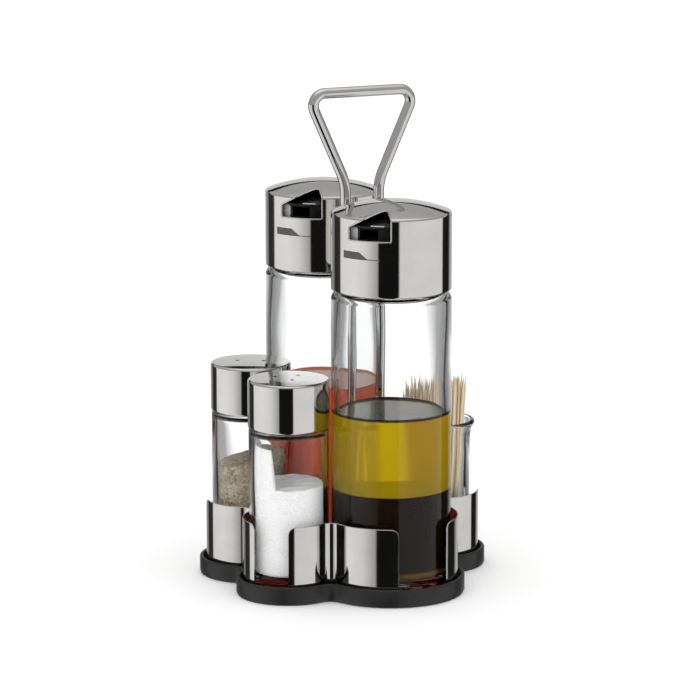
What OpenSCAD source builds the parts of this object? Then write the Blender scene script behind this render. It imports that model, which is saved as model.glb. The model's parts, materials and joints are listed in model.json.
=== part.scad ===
// Five-place cruet set: a lobed tray with a folded steel fence and a wire handle,
// two tall pouring cruets, two shakers and an open toothpick jar.
// Millimetres, +Z up. The origin is the middle of the tray's underside.
// X runs from the shakers to the toothpick jar, Y from the oil cruet to the vinegar cruet.

/* [Layout] */
// Distance from the middle plane to each tall cruet's axis
cruet_y = 36.5; // [36:0.5:40]
// X position of the tall cruets' axes
cruet_x = 2.2; // [0:0.1:3]
// X distance of the shakers on one side and of the jar on the other
small_x = 42.4; // [42:0.1:45]
// Distance from the middle plane to each shaker's axis
shaker_y = 21.4; // [20.5:0.1:22]
// X position of the handle's middle
handle_x = 4.9; // [3:0.1:6]

/* [Tray] */
// Radius of the fence round a tall cruet
fence_big_r = 31; // [30:0.1:32]
// Radius of the fence round a shaker or the jar
fence_small_r = 21.3; // [21:0.1:22]
// How far the tray stands out past the fence
tray_margin = 3.1; // [2.5:0.1:4]
// Height of the floor that the containers stand on
floor_z = 5; // [5:0.5:6]
// Height of the rim
rim_z = 8.5; // [8:0.5:10]
// Width of the rim
rim_w = 1.8; // [1.5:0.1:2]

/* [Fence] */
// Height of the fence's top edge
fence_z = 36; // [30:1:44]
// Thickness of the sheet
sheet_t = 0.6; // [0.5:0.1:0.8]
// Radius of the fold between two lobes
fold_r = 4.5; // [4:0.5:5]
// Radius of the panels' top corners
panel_corner_r = 3.5; // [2:0.5:5]
// Half of the angle of each gap at the cruets and shakers
gap_half = 24; // [20:1:28]
// Half of the angle of the gap at the jar
jar_gap_half = 20; // [16:1:24]

/* [Handle] */
// Diameter of the wire
wire_d = 5; // [4:0.5:5]
// Half of the distance between the two legs
leg_half = 8.5; // [8:0.5:9]
// Height where the legs turn outwards
knee_z = 185; // [182:1:195]
// Height of the top bar's middle line
bar_z = 227; // [220:1:240]
// Half of the top's width, at the wire's middle line
top_half = 24.7; // [22:0.1:26]
// Bend radius at the knees
knee_r = 10; // [6:1:14]
// Bend radius at the top corners
corner_r = 5.5; // [4:0.5:7]

/* [Tall cruets] */
// Outer radius of the glass and of the cap
cruet_r = 27.5; // [27:0.1:27.5]
// Thickness of the glass wall
cruet_wall = 2.8; // [2.4:0.1:3]
// Height where the shoulder starts
shoulder_z = 136.5; // [132:0.5:137]
// Radius of the rounded shoulder
shoulder_r = 4; // [3:0.5:4]
// Top of the oil
oil_z = 84.7; // [60:0.1:120]
// Top of the dark vinegar that lies under the oil
balsamic_z = 49.4; // [20:0.1:58]
// Top of the red vinegar
vinegar_z = 85.6; // [20:0.1:120]
// Direction in which the cruets pour
pour_angle = 220; // [210:1:230]

/* [Tall caps] */
// Height of the cap's skirt above the shoulder's start
cap_gap = 4.2; // [4.2:0.1:5]
// Height of the cap's side, without the dome
cap_h = 36.8; // [36.5:0.1:38]
// Rise of the cap's dome
dome_h = 4.8; // [4.5:0.1:5.5]
// Thickness of the caps' steel
cap_t = 0.7; // [0.5:0.1:0.8]
// Distance from the pouring direction to the notch's left end, seen from outside
notch_left = 9.5; // [8:0.5:10]
// Distance from the pouring direction to the notch's right end
notch_right = 11; // [10:0.5:12]
// Depth of the notch's floor below the top of the cap's side
notch_h = 11; // [10:0.5:12]

/* [Shakers] */
// Outer radius of a shaker's cap
shaker_r = 18.7; // [18.4:0.1:18.8]
// How much smaller the glass is than the cap
shaker_step = 0.4; // [0.2:0.1:0.6]
// Thickness of the shaker's glass wall
shaker_wall = 2.4; // [2:0.1:2.6]
// Height of the shaker cap's lower edge
shaker_cap_z = 77.8; // [70:0.1:80]
// Height of the shaker cap's side
shaker_cap_h = 22.9; // [22:0.1:25]
// Rise of the shaker cap's dome
shaker_dome_h = 1.8; // [1:0.1:2.5]
// Top of the salt
salt_z = 52; // [20:1:68]
// Top of the pepper
pepper_z = 55; // [20:1:68]
// Radius of a sprinkle hole
sprinkle_r = 1; // [0.8:0.1:1.3]

/* [Toothpick jar] */
// Outer radius of the jar's body
jar_r = 17.1; // [16.5:0.1:17.5]
// Outer radius of the jar's rolled rim
jar_rim_r = 19.3; // [19:0.1:19.5]
// Height of the jar's rim
jar_z = 70; // [64:1:76]
// Thickness of the jar's glass base
jar_base = 12; // [8:1:14]
// Length of a toothpick
pick_len = 72; // [60:1:74]
// Diameter of a toothpick
pick_d = 2; // [1.8:0.1:2]

/* [Hidden] */
$fn = 96;
fit = 0.05; // radial play of a running fit
play = 0.4; // free gap between parts that turn past each other
far = 90; // longer than any lobe
seam = 0.1; // overlap of pieces that are joined end to end

// Each lobe: centre, fence radius, direction of its gap, half-angle of its gap.
// They go round the tray from the oil cruet to the shakers, the vinegar cruet and the jar.
OIL = 0;
SALT = 1;
PEPPER = 2;
VINEGAR = 3;
JAR = 4;
LOBES = [
    [[cruet_x, -cruet_y], fence_big_r, 275, gap_half],
    [[-small_x, -shaker_y], fence_small_r, 221, gap_half],
    [[-small_x, shaker_y], fence_small_r, 139, gap_half],
    [[cruet_x, cruet_y], fence_big_r, 85, gap_half],
    [[small_x, 0], fence_small_r, 0, jar_gap_half]
];

// Stand
groove_z = floor_z - 1.6;
tray_cusp_r = 6;

// Cruet heights
cap_z = shoulder_z + cap_gap;
cap_top = cap_z + cap_h;
glass_in = cruet_r - cruet_wall;
cruet_base = 5;
neck_r = 20.5;
neck_in = 17;
neck_top = cap_z + 17.3;
plug_r = neck_in - play;
plug_bottom = neck_top - 14;
seal_z = plug_bottom + 3;
seal_h = 3;
seal_in = plug_r - 1.2;
flange_r = 24;
flange_h = 3;
turret_z = neck_top + 4.5;
turret_r = 25;
visor_z = neck_top + 14.6;
visor_r = 26.2;
visor_h = 1.2;
hood_r = 5;
hood_h = 5.7;
spout_w = 9;
spout_h = 4.5;
spout_z = neck_top + 9.4;
pour_bore_r = 4;
vent_r = 1.5;
cap_in = cruet_r - cap_t;
cap_edge_r = 2;
notch_start = 12;
cap_roll = 0.8;
liner_in = flange_r + play;
liner_z = cap_z + 2.3;
liner_top = turret_z - 0.5;
lip_in = neck_r + 0.7;
lip_h = 2.6;

// Shaker heights
shaker_glass_r = shaker_r - shaker_step;
shaker_in = shaker_glass_r - shaker_wall;
shaker_top = shaker_cap_z + shaker_cap_h;
shaker_neck_r = 15.5;
shaker_mouth_r = 12.8;
shaker_neck_top = shaker_cap_z + 14.2;
shaker_t = 0.6;
shaker_edge_r = 1.4;
shaker_liner_in = shaker_neck_r + play;
mouth_seal_t = 1;
sprinkle_ring_r = 6.2;

// Handle loop: where the slanted side would meet the bar, and the bends' centres
vertex_x = top_half + 0.534 * corner_r;
slant = atan2(vertex_x - leg_half, bar_z - knee_z);
knee_c = [leg_half + knee_r, knee_z - knee_r * tan(slant / 2)];
corner_c = [vertex_x - corner_r / tan((90 - slant) / 2), bar_z - corner_r];
ball_extra = 0.02;
seam_a = 0.5;

// Handle fixing under the tray
boss_top = rim_z - 0.5;
pocket_z = 4;
thread_r = 2;
washer_t = 0.8;
washer_r = 4.6;
nut_af = 7;
nut_h = 2.7;

// ---------- small shapes ----------

// Points of an arc round c, from angle a0 to a1
function arc(c, r, a0, a1, n = 8) =
    [for (i = [0:n]) let (a = a0 + (a1 - a0) * i / n) c + r * [cos(a), sin(a)]];

// Height of a shallow dome at radius x, with rise h over radius r
function dome(x, r, h) = let (big = (r * r + h * h) / (2 * h)) sqrt(big * big - x * x) - big + h;

function unit(v) = v / norm(v);
function angle_of(v) = atan2(v[1], v[0]);

// How far to turn anticlockwise from the angle a0 to a1
function turn(a0, a1) = ((a1 - a0) % 360 + 360) % 360;
function left_of(v) = [-v[1], v[0]];

// Points that round the corner between its neighbours a and b to radius f
function rounded(a, corner, b, f, n = 4) =
    let (
        u = unit(a - corner),
        v = unit(b - corner),
        half = acos(u * v) / 2,
        centre = corner + unit(u + v) * f / sin(half),
        start = angle_of(corner + u * f / tan(half) - centre),
        sweep = (180 - 2 * half) * (u[0] * v[1] - u[1] * v[0] > 0 ? -1 : 1)
    )
    arc(centre, f, start, start + sweep, n);

// Centre of the circle of radius f that touches two circles from outside,
// on the right-hand side of the line from a to b
function fillet_centre(a, ra, b, rb, f) =
    let (
        d = norm(b - a),
        s = (d * d + pow(ra + f, 2) - pow(rb + f, 2)) / (2 * d),
        h = sqrt(pow(ra + f, 2) - s * s),
        u = unit(b - a)
    )
    a + u * s + left_of(u) * h;

module at(lobe) {
    translate([LOBES[lobe][0][0], LOBES[lobe][0][1], 0])
    children();
}

module tube(r, inner, h) {
    difference() {
        cylinder(r = r, h = h);
        translate([0, 0, -1])
        cylinder(r = inner, h = h + 2);
    }
}

// ---------- lobed outline ----------

// Centre of the fold between lobe i and the next one, for lobes grown by grow and a fold of radius f
function fold_centre(i, grow, f) =
    let (a = LOBES[i], b = LOBES[(i + 1) % 5])
    fillet_centre(a[0], a[1] + grow, b[0], b[1] + grow, f);

// Points of the fold round c, from the lobe centred on a to the one centred on b, without its ends
function fold_points(c, f, a, b, n = 8) =
    let (a0 = angle_of(a - c), sweep = turn(a0, angle_of(b - c)))
    [for (k = [1:n - 1]) c + f * [cos(a0 + sweep * k / n), sin(a0 + sweep * k / n)]];

// Points of a lobe's arc, clockwise from angle a0 to a1
function lobe_points(l, grow, a0, a1, n) = arc(l[0], l[1] + grow, a0, a0 - turn(a1, a0), n);

// Closed outline of the five lobes, clockwise
function outline_points(grow, f) = [
    for (i = [0:4])
    let (
        l = LOBES[i],
        before = fold_centre((i + 4) % 5, grow, f),
        after = fold_centre(i, grow, f)
    )
    each concat(
        lobe_points(l, grow, angle_of(before - l[0]), angle_of(after - l[0]), 28),
        fold_points(after, f, l[0], LOBES[(i + 1) % 5][0])
    )
];

module lobe_outline(grow, f) {
    polygon(outline_points(grow, f));
}

// One face of the panel between lobe i and the next one, from gap to gap
function panel_points(i, grow) =
    let (
        a = LOBES[i],
        b = LOBES[(i + 1) % 5],
        c = fold_centre(i, 0, fold_r)
    )
    concat(
        lobe_points(a, grow, a[2] - a[3], angle_of(c - a[0]), 16),
        fold_points(c, fold_r - grow, a[0], b[0]),
        lobe_points(b, grow, angle_of(c - b[0]), b[2] + b[3], 16)
    );

function reversed(list) = [for (k = [len(list) - 1:-1:0]) list[k]];

// ---------- stand ----------

module tray() {
    color([0.10, 0.10, 0.11])
    difference() {
        union() {
            linear_extrude(height = floor_z)
            lobe_outline(tray_margin, tray_cusp_r);
            tray_rim();
            handle_boss();
        }
        fence_groove();
        fixing_pockets();
        for (s = [-1, 1]) {
            translate([handle_x + s * leg_half, 0, 0])
            cylinder(r = thread_r + 0.1, h = far);
        }
    }
}

module tray_rim() {
    translate([0, 0, floor_z - 0.5])
    linear_extrude(height = rim_z - floor_z + 0.5)
    difference() {
        lobe_outline(tray_margin, tray_cusp_r);
        lobe_outline(tray_margin - rim_w, tray_cusp_r + rim_w);
    }
}

module handle_boss() {
    for (s = [-1, 1]) {
        translate([handle_x + s * leg_half, 0, 1])
        cylinder(r = 5.5, h = boss_top - 1);
    }
    translate([handle_x - leg_half, -5.5, 1])
    cube([2 * leg_half, 11, boss_top - 1]);
}

module fence_groove() {
    translate([0, 0, groove_z])
    linear_extrude(height = 2)
    difference() {
        lobe_outline(fit, fold_r - fit);
        lobe_outline(-sheet_t - fit, fold_r + sheet_t + fit);
    }
}

// Pockets under the tray that hide the washers and nuts
module fixing_pockets() {
    for (s = [-1, 1]) {
        translate([handle_x + s * leg_half, 0, -1])
        cylinder(r = washer_r + 0.6, h = pocket_z + 1);
    }
}

// What a rounded top corner removes from a sheet of radius r that starts at the X axis
module panel_corner(r) {
    translate([r - 3, 0, fence_z])
    rotate([90, 0, 90])
    linear_extrude(height = 5)
    difference() {
        translate([-1, -panel_corner_r])
        square([panel_corner_r + 1, panel_corner_r + 1]);
        translate([panel_corner_r, -panel_corner_r])
        circle(r = panel_corner_r);
    }
}

// The panel between lobe i and the next one: an arc of each lobe, joined by a fold
module fence_panel(i) {
    a = LOBES[i];
    b = LOBES[(i + 1) % 5];
    color([0.78, 0.78, 0.77])
    difference() {
        translate([0, 0, groove_z])
        linear_extrude(height = fence_z - groove_z)
        polygon(concat(panel_points(i, 0), reversed(panel_points(i, -sheet_t))));
        translate([a[0][0], a[0][1], 0])
        rotate([0, 0, a[2] - a[3]])
        mirror([0, 1, 0])
        panel_corner(a[1]);
        translate([b[0][0], b[0][1], 0])
        rotate([0, 0, b[2] + b[3]])
        panel_corner(b[1]);
    }
}

module fence_front_left() {
    fence_panel(OIL);
}

module fence_left() {
    fence_panel(SALT);
}

module fence_back_left() {
    fence_panel(PEPPER);
}

module fence_back_right() {
    fence_panel(VINEGAR);
}

module fence_front_right() {
    fence_panel(JAR);
}

// ---------- handle ----------

// Bend of the wire in the XZ plane, round the point c
module wire_bend(c, r, a0, a1) {
    translate([c[0], 0, c[1]])
    rotate([90, 0, 0])
    rotate([0, 0, a0 + seam_a])
    rotate_extrude(angle = a1 - a0 - 2 * seam_a)
    translate([r, 0])
    circle(d = wire_d);
}

// Straight wire in the XZ plane, from p to q, with a ball at each end that joins it to a bend
module wire_run(p, q) {
    for (end = [p, q]) {
        translate([end[0], 0, end[1]])
        sphere(r = wire_d / 2 + ball_extra);
    }
    translate([p[0], 0, p[1]])
    rotate([0, atan2(q[0] - p[0], q[1] - p[1]), 0])
    translate([0, 0, seam])
    cylinder(d = wire_d, h = norm(q - p) - 2 * seam);
}

// One side of the loop: leg with its thread, knee, slanted side and top corner
module handle_side() {
    translate([leg_half, 0, 0.5])
    cylinder(r = thread_r, h = boss_top);
    translate([leg_half, 0, boss_top])
    cylinder(d = wire_d, h = wire_d);
    wire_run([leg_half, boss_top + wire_d], [leg_half, knee_c[1]]);
    wire_bend(knee_c, knee_r, 180 - slant, 180);
    wire_run(knee_c + knee_r * [-cos(slant), sin(slant)],
        corner_c + corner_r * [cos(slant), -sin(slant)]);
    wire_bend(corner_c, corner_r, -slant, 90);
}

module handle() {
    color([0.80, 0.80, 0.79])
    translate([handle_x, 0, 0]) {
        handle_side();
        mirror([1, 0, 0])
        handle_side();
        wire_run([-corner_c[0], bar_z], [corner_c[0], bar_z]);
    }
}

module handle_washers() {
    color([0.65, 0.65, 0.66])
    for (s = [-1, 1]) {
        translate([handle_x + s * leg_half, 0, pocket_z - washer_t])
        tube(washer_r, thread_r + fit, washer_t);
    }
}

module handle_nuts() {
    color([0.60, 0.60, 0.62])
    for (s = [-1, 1]) {
        translate([handle_x + s * leg_half, 0, pocket_z - washer_t - nut_h])
        difference() {
            cylinder(r = nut_af / sqrt(3), h = nut_h, $fn = 6);
            translate([0, 0, -1])
            cylinder(r = thread_r + fit, h = nut_h + 2);
        }
    }
}

// ---------- tall cruets ----------

module bottle_glass() {
    color([0.85, 0.90, 0.88, 0.35])
    rotate_extrude()
    polygon(concat(
        [[0, floor_z + 1], [17, floor_z + 1], [19, floor_z]],
        arc([cruet_r - 2, floor_z + 2], 2, -90, 0),
        arc([cruet_r - shoulder_r, shoulder_z], shoulder_r, 0, 90),
        [[neck_r, shoulder_z + shoulder_r], [neck_r, neck_top], [neck_in, neck_top]],
        [[neck_in, shoulder_z + 2.2]],
        arc([glass_in - 4, shoulder_z - 1.7], 4, 60, 0, 5),
        arc([glass_in - 3, floor_z + cruet_base + 3], 3, 0, -90),
        [[0, floor_z + cruet_base]]
    ));
}

// Liquid that stands on the bottle's floor, up to the height top
module bottom_liquid(top) {
    r = glass_in - fit;
    z = floor_z + cruet_base + fit;
    rotate_extrude()
    polygon(concat(
        [[0, z]],
        arc([r - 3, z + 3], 3, -90, 0),
        [[r, top], [0, top]]
    ));
}

module pourer() {
    color([0.09, 0.09, 0.10])
    difference() {
        union() {
            translate([0, 0, plug_bottom])
            cylinder(r = plug_r, h = neck_top - plug_bottom);
            translate([0, 0, neck_top])
            cylinder(r = flange_r, h = flange_h);
            translate([0, 0, neck_top])
            cylinder(r = turret_r - 3, h = turret_z - neck_top + 1);
            translate([0, 0, turret_z])
            cylinder(r = turret_r, h = visor_z - turret_z);
            translate([0, 0, visor_z])
            cylinder(r = visor_r, h = visor_h);
            translate([0, 0, visor_z + visor_h])
            cylinder(r1 = visor_r - 0.6, r2 = hood_r, h = hood_h);
        }
        translate([0, 0, seal_z])
        tube(plug_r + 1, seal_in, seal_h);
        translate([0, 0, plug_bottom - 1])
        cylinder(r = pour_bore_r, h = spout_z + spout_h - plug_bottom + 1);
        rotate([0, 0, pour_angle])
        translate([-10, 0, plug_bottom - 1])
        cylinder(r = vent_r, h = far);
        rotate([0, 0, pour_angle])
        translate([0, -spout_w / 2, spout_z])
        cube([far, spout_w, spout_h]);
        rotate([0, 0, pour_angle])
        shutter_space(0);
    }
}

// Block beside the spout, in the turret's wall, shrunk by gap all round
module shutter_space(gap) {
    intersection() {
        translate([20 + gap, -11 + gap, spout_z - 1 + gap])
        cube([far, 5.5 - 2 * gap, 6.2 - 2 * gap]);
        cylinder(r = turret_r - 0.2 + (gap == 0 ? 1 : 0), h = 2 * far);
    }
}

module spout_shutter() {
    color([0.62, 0.62, 0.60])
    rotate([0, 0, pour_angle])
    shutter_space(fit);
}

module plug_seal() {
    color([0.86, 0.86, 0.84])
    translate([0, 0, seal_z])
    tube(neck_in - fit, seal_in, seal_h);
}

// Deep-drawn shell: rolled-in lower edge, straight side, rounded edge and dome
module drawn_shell(r, t, edge, roll, z0, z1, rise) {
    top_r = r - edge;
    rotate_extrude()
    polygon(concat(
        arc([r - 2 * roll, z0 + 2 * roll], 2 * roll, -60, 0),
        arc([top_r, z1 - edge], edge, 0, 90),
        [for (k = [3:-1:0]) [top_r * k / 4, z1 + dome(top_r * k / 4, top_r, rise)]],
        [for (k = [0:3]) [top_r * k / 4, z1 - t + dome(top_r * k / 4, top_r, rise)]],
        arc([top_r, z1 - edge], edge - t, 90, 0),
        arc([r - 2 * roll, z0 + 2 * roll], 2 * roll - t, 0, -60)
    ));
}

// Face of the notch seen from inside, with its zero at the top of the cap's side:
// a level floor, upright ends and a gable that reaches into the dome
module notch_face() {
    corners = [
        [-notch_left, -notch_h], [-notch_left, -5], [6, 2.2], [notch_right, -1],
        [notch_right, -notch_h]
    ];
    rounding = [0.8, 1, 2, 1, 0.8];
    count = len(corners);
    polygon([
        for (i = [0:count - 1])
            each rounded(corners[(i + count - 1) % count], corners[i], corners[(i + 1) % count],
                rounding[i])
    ]);
}

module tall_cap_shell() {
    color([0.80, 0.80, 0.79])
    difference() {
        drawn_shell(cruet_r, cap_t, cap_edge_r, cap_roll, cap_z, cap_top, dome_h);
        rotate([0, 0, pour_angle])
        translate([notch_start, 0, cap_top])
        rotate([90, 0, 90])
        linear_extrude(height = far)
        notch_face();
    }
}

module tall_cap_liner() {
    color([0.09, 0.09, 0.10]) {
        translate([0, 0, liner_z])
        tube(cap_in, liner_in, liner_top - liner_z);
        translate([0, 0, neck_top - play - lip_h])
        tube(liner_in + 1, lip_in, lip_h);
    }
}

module oil_bottle_glass() {
    at(OIL)
    bottle_glass();
}

module olive_oil() {
    color([0.71, 0.60, 0.06, 0.85])
    at(OIL)
    translate([0, 0, balsamic_z])
    cylinder(r = glass_in - fit, h = oil_z - balsamic_z);
}

module balsamic_vinegar() {
    color([0.10, 0.06, 0.03])
    at(OIL)
    bottom_liquid(balsamic_z);
}

module oil_pourer() {
    at(OIL)
    pourer();
}

module oil_spout_shutter() {
    at(OIL)
    spout_shutter();
}

module oil_plug_seal() {
    at(OIL)
    plug_seal();
}

module oil_cap_shell() {
    at(OIL)
    tall_cap_shell();
}

module oil_cap_liner() {
    at(OIL)
    tall_cap_liner();
}

module vinegar_bottle_glass() {
    at(VINEGAR)
    bottle_glass();
}

module red_vinegar() {
    color([0.55, 0.16, 0.09, 0.85])
    at(VINEGAR)
    bottom_liquid(vinegar_z);
}

module vinegar_pourer() {
    at(VINEGAR)
    pourer();
}

module vinegar_spout_shutter() {
    at(VINEGAR)
    spout_shutter();
}

module vinegar_plug_seal() {
    at(VINEGAR)
    plug_seal();
}

module vinegar_cap_shell() {
    at(VINEGAR)
    tall_cap_shell();
}

module vinegar_cap_liner() {
    at(VINEGAR)
    tall_cap_liner();
}

// ---------- shakers ----------

module shaker_glass() {
    shoulder = 3;
    color([0.85, 0.90, 0.88, 0.35])
    rotate_extrude()
    polygon(concat(
        [[0, floor_z + 1], [11, floor_z + 1], [12.5, floor_z]],
        arc([shaker_glass_r - 2, floor_z + 2], 2, -90, 0),
        arc([shaker_glass_r - 1, shaker_cap_z - 1.1], 1, 0, 90),
        [[shaker_neck_r, shaker_cap_z - 0.1], [shaker_neck_r, shaker_neck_top]],
        [[shaker_mouth_r, shaker_neck_top], [shaker_mouth_r, shaker_cap_z - 1.8]],
        arc([shaker_in - shoulder, shaker_cap_z - 5], shoulder, 60, 0, 5),
        arc([shaker_in - 2, floor_z + 7], 2, 0, -90),
        [[0, floor_z + 5]]
    ));
}

module shaker_fill(top) {
    r = shaker_in - fit;
    z = floor_z + 5 + fit;
    rotate_extrude()
    polygon(concat(
        [[0, z]],
        arc([r - 2, z + 2], 2, -90, 0),
        [[r, top], [0, top]]
    ));
}

module mouth_seal() {
    color([0.86, 0.86, 0.84])
    translate([0, 0, shaker_neck_top])
    tube(shaker_neck_r, shaker_mouth_r, mouth_seal_t);
}

// Shaker cap with count holes on a ring, the first one at the angle first
module shaker_cap_shell(count, first) {
    color([0.80, 0.80, 0.79])
    difference() {
        drawn_shell(shaker_r, shaker_t, shaker_edge_r, cap_roll, shaker_cap_z, shaker_top,
            shaker_dome_h);
        for (k = [0:count - 1]) {
            rotate([0, 0, first + 360 * k / count])
            translate([sprinkle_ring_r, 0, shaker_neck_top])
            cylinder(r = sprinkle_r, h = far);
        }
    }
}

module shaker_cap_liner() {
    color([0.09, 0.09, 0.10]) {
        translate([0, 0, shaker_cap_z + 2.2])
        tube(shaker_r - shaker_t, shaker_liner_in, shaker_neck_top - shaker_cap_z);
        translate([0, 0, shaker_neck_top + mouth_seal_t])
        tube(shaker_r - shaker_t, shaker_mouth_r, 1.5);
    }
}

module salt_jar_glass() {
    at(SALT)
    shaker_glass();
}

module salt() {
    color([0.94, 0.94, 0.93])
    at(SALT)
    shaker_fill(salt_z);
}

module salt_mouth_seal() {
    at(SALT)
    mouth_seal();
}

module salt_cap_shell() {
    at(SALT)
    shaker_cap_shell(3, 261);
}

module salt_cap_liner() {
    at(SALT)
    shaker_cap_liner();
}

module pepper_jar_glass() {
    at(PEPPER)
    shaker_glass();
}

module ground_pepper() {
    color([0.60, 0.55, 0.45])
    at(PEPPER)
    shaker_fill(pepper_z);
}

module pepper_mouth_seal() {
    at(PEPPER)
    mouth_seal();
}

module pepper_cap_shell() {
    at(PEPPER)
    shaker_cap_shell(2, -30);
}

module pepper_cap_liner() {
    at(PEPPER)
    shaker_cap_liner();
}

// ---------- toothpick jar ----------

module toothpick_jar_glass() {
    lip_r = (jar_rim_r - 16.7) / 2;
    color([0.85, 0.90, 0.88, 0.35])
    at(JAR)
    rotate_extrude()
    polygon(concat(
        [[0, floor_z + 1], [10, floor_z + 1], [11.5, floor_z]],
        arc([jar_r - 3, floor_z + 3], 3, -90, 0),
        [[jar_r, jar_z - 10], [jar_r + 0.6, jar_z - 5]],
        arc([jar_rim_r - lip_r, jar_z - lip_r], lip_r, -20, 180),
        [[jar_r - 1.9, jar_z - 6], [jar_r - 2.6, jar_z - 12]],
        arc([jar_r - 4.6, floor_z + jar_base + 2], 2, 0, -90),
        [[0, floor_z + jar_base]]
    ));
}

// One pick standing on its tip at the origin, pointing up
module pick() {
    tip = 7;
    cylinder(r1 = 0.3, r2 = pick_d / 2, h = tip);
    translate([0, 0, tip])
    cylinder(d = pick_d, h = pick_len - 2 * tip);
    translate([0, 0, pick_len - tip])
    cylinder(r1 = pick_d / 2, r2 = 0.3, h = tip);
}

// Picks fan out from the jar's floor, and leave one side of the jar free
module toothpicks() {
    count = 34;
    foot_r = 10.2;
    spread = 1.35;
    free_angle = 60;
    free_half = 52;
    color([0.80, 0.68, 0.48])
    at(JAR)
    for (i = [0:count - 1]) {
        r = foot_r * sqrt((i + 0.5) / count);
        a = (i * 137.508) % 360;
        if (abs(a - free_angle) > free_half) {
            rotate([0, 0, a])
            translate([r, 0, floor_z + jar_base + 0.6])
            rotate([0, asin(r * (spread - 1) / pick_len), 0])
            pick();
        }
    }
}

tray();
fence_front_left();
fence_left();
fence_back_left();
fence_back_right();
fence_front_right();
handle();
handle_washers();
handle_nuts();
oil_bottle_glass();
olive_oil();
balsamic_vinegar();
oil_pourer();
oil_spout_shutter();
oil_plug_seal();
oil_cap_shell();
oil_cap_liner();
vinegar_bottle_glass();
red_vinegar();
vinegar_pourer();
vinegar_spout_shutter();
vinegar_plug_seal();
vinegar_cap_shell();
vinegar_cap_liner();
salt_jar_glass();
salt();
salt_mouth_seal();
salt_cap_shell();
salt_cap_liner();
pepper_jar_glass();
ground_pepper();
pepper_mouth_seal();
pepper_cap_shell();
pepper_cap_liner();
toothpick_jar_glass();
toothpicks();
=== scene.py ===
# The finished look of a five-place cruet set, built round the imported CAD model.
# Pieces are worked out in millimetres in the CAD frame, and become metres when a mesh is made.
import json
import math
import random

import bmesh
import bpy
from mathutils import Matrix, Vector


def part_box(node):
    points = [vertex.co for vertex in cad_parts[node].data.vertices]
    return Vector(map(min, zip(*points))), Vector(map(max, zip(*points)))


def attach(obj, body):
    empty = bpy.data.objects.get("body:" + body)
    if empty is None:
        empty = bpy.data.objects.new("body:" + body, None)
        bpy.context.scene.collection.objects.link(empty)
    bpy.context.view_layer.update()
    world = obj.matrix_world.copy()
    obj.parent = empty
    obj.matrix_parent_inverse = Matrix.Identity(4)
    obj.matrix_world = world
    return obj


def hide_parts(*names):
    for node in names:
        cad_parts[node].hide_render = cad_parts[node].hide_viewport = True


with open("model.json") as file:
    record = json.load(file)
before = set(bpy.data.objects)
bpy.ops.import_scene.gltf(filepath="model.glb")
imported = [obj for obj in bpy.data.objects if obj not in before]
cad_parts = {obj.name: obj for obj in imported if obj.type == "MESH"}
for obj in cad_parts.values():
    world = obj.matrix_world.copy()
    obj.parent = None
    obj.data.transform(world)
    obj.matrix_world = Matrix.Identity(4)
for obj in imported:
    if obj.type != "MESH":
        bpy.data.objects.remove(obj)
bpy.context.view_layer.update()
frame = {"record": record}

MM = 0.001
TAU = 2 * math.pi
STEPS = 180  # corners of a full turn on a large round piece

# Driving sizes of the design, in millimetres
CRUET_R = 27.5
CRUET_WALL = 2.8
SHAKER_R = 18.7
SHAKER_GLASS_R = 18.3
SHAKER_WALL = 2.4
FENCE_BIG_R = 31
FENCE_SMALL_R = 21.3
SHEET_T = 0.6
FOLD_R = 4.5
CORNER_R = 3.5
TRAY_MARGIN = 3.1
TRAY_CUSP_R = 6
FLOOR_Z = 5
RIM_Z = 8.5
RIM_W = 1.8
WIRE_R = 2.5
LEG_HALF = 8.5
KNEE_Z = 185
KNEE_R = 24
BAR_Z = 227
TOP_HALF = 24.7
TOP_CORNER_R = 5.5
POUR_ANGLE = 220
TALL_SIDE = 36.4  # height of a tall cap's side
TALL_SLOPE = 20.4  # slope of its dome at the rim, in degrees
NOTCH_ZERO = 36.8  # height in a tall cap that its notch is measured from
SHAKER_SIDE = 22.6
DRIFT_START = 120  # directions between which salt clings to the glass, in degrees
DRIFT_END = 222
SHAKER_SLOPE = 4


# ---------- places read from the frame ----------

def box_mm(node):
    """Lowest and highest corner of a CAD node, in millimetres."""
    lowest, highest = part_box(node)
    return lowest / MM, highest / MM


def axis_of(node):
    """X and Y of an upright round CAD node's axis, in millimetres."""
    lowest, highest = box_mm(node)
    return ((lowest.x + highest.x) / 2, (lowest.y + highest.y) / 2)


def span_of(node):
    """Lowest and highest Z of a CAD node, in millimetres."""
    lowest, highest = box_mm(node)
    return lowest.z, highest.z


OIL = axis_of("oil_bottle_glass")
VINEGAR = axis_of("vinegar_bottle_glass")
SALT = axis_of("salt_jar_glass")
PEPPER = axis_of("pepper_jar_glass")
JAR = axis_of("toothpick_jar_glass")
HANDLE_X = axis_of("handle")[0]
OIL_LEVEL = span_of("olive_oil")[1]
RED_LEVEL = span_of("red_vinegar")[1]
BASE_LEVEL = span_of("balsamic_vinegar")[0]

# Each lobe of the fence: centre, radius, direction of its gap, half-angle of its gap, clockwise
LOBES = [
    (OIL, FENCE_BIG_R, 275, 24),
    (SALT, FENCE_SMALL_R, 221, 24),
    (PEPPER, FENCE_SMALL_R, 139, 24),
    (VINEGAR, FENCE_BIG_R, 85, 24),
    (JAR, FENCE_SMALL_R, 0, 20),
]


# ---------- mesh code ----------

def turned(x, y, degrees):
    """The point (x, y) turned round the origin."""
    c = math.cos(math.radians(degrees))
    s = math.sin(math.radians(degrees))
    return x * c - y * s, x * s + y * c


def arc(cx, cy, radius, start, end, count):
    """Points of an arc, angles in degrees."""
    points = []
    for k in range(count + 1):
        angle = math.radians(start + (end - start) * k / count)
        points.append((cx + radius * math.cos(angle), cy + radius * math.sin(angle)))
    return points


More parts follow.
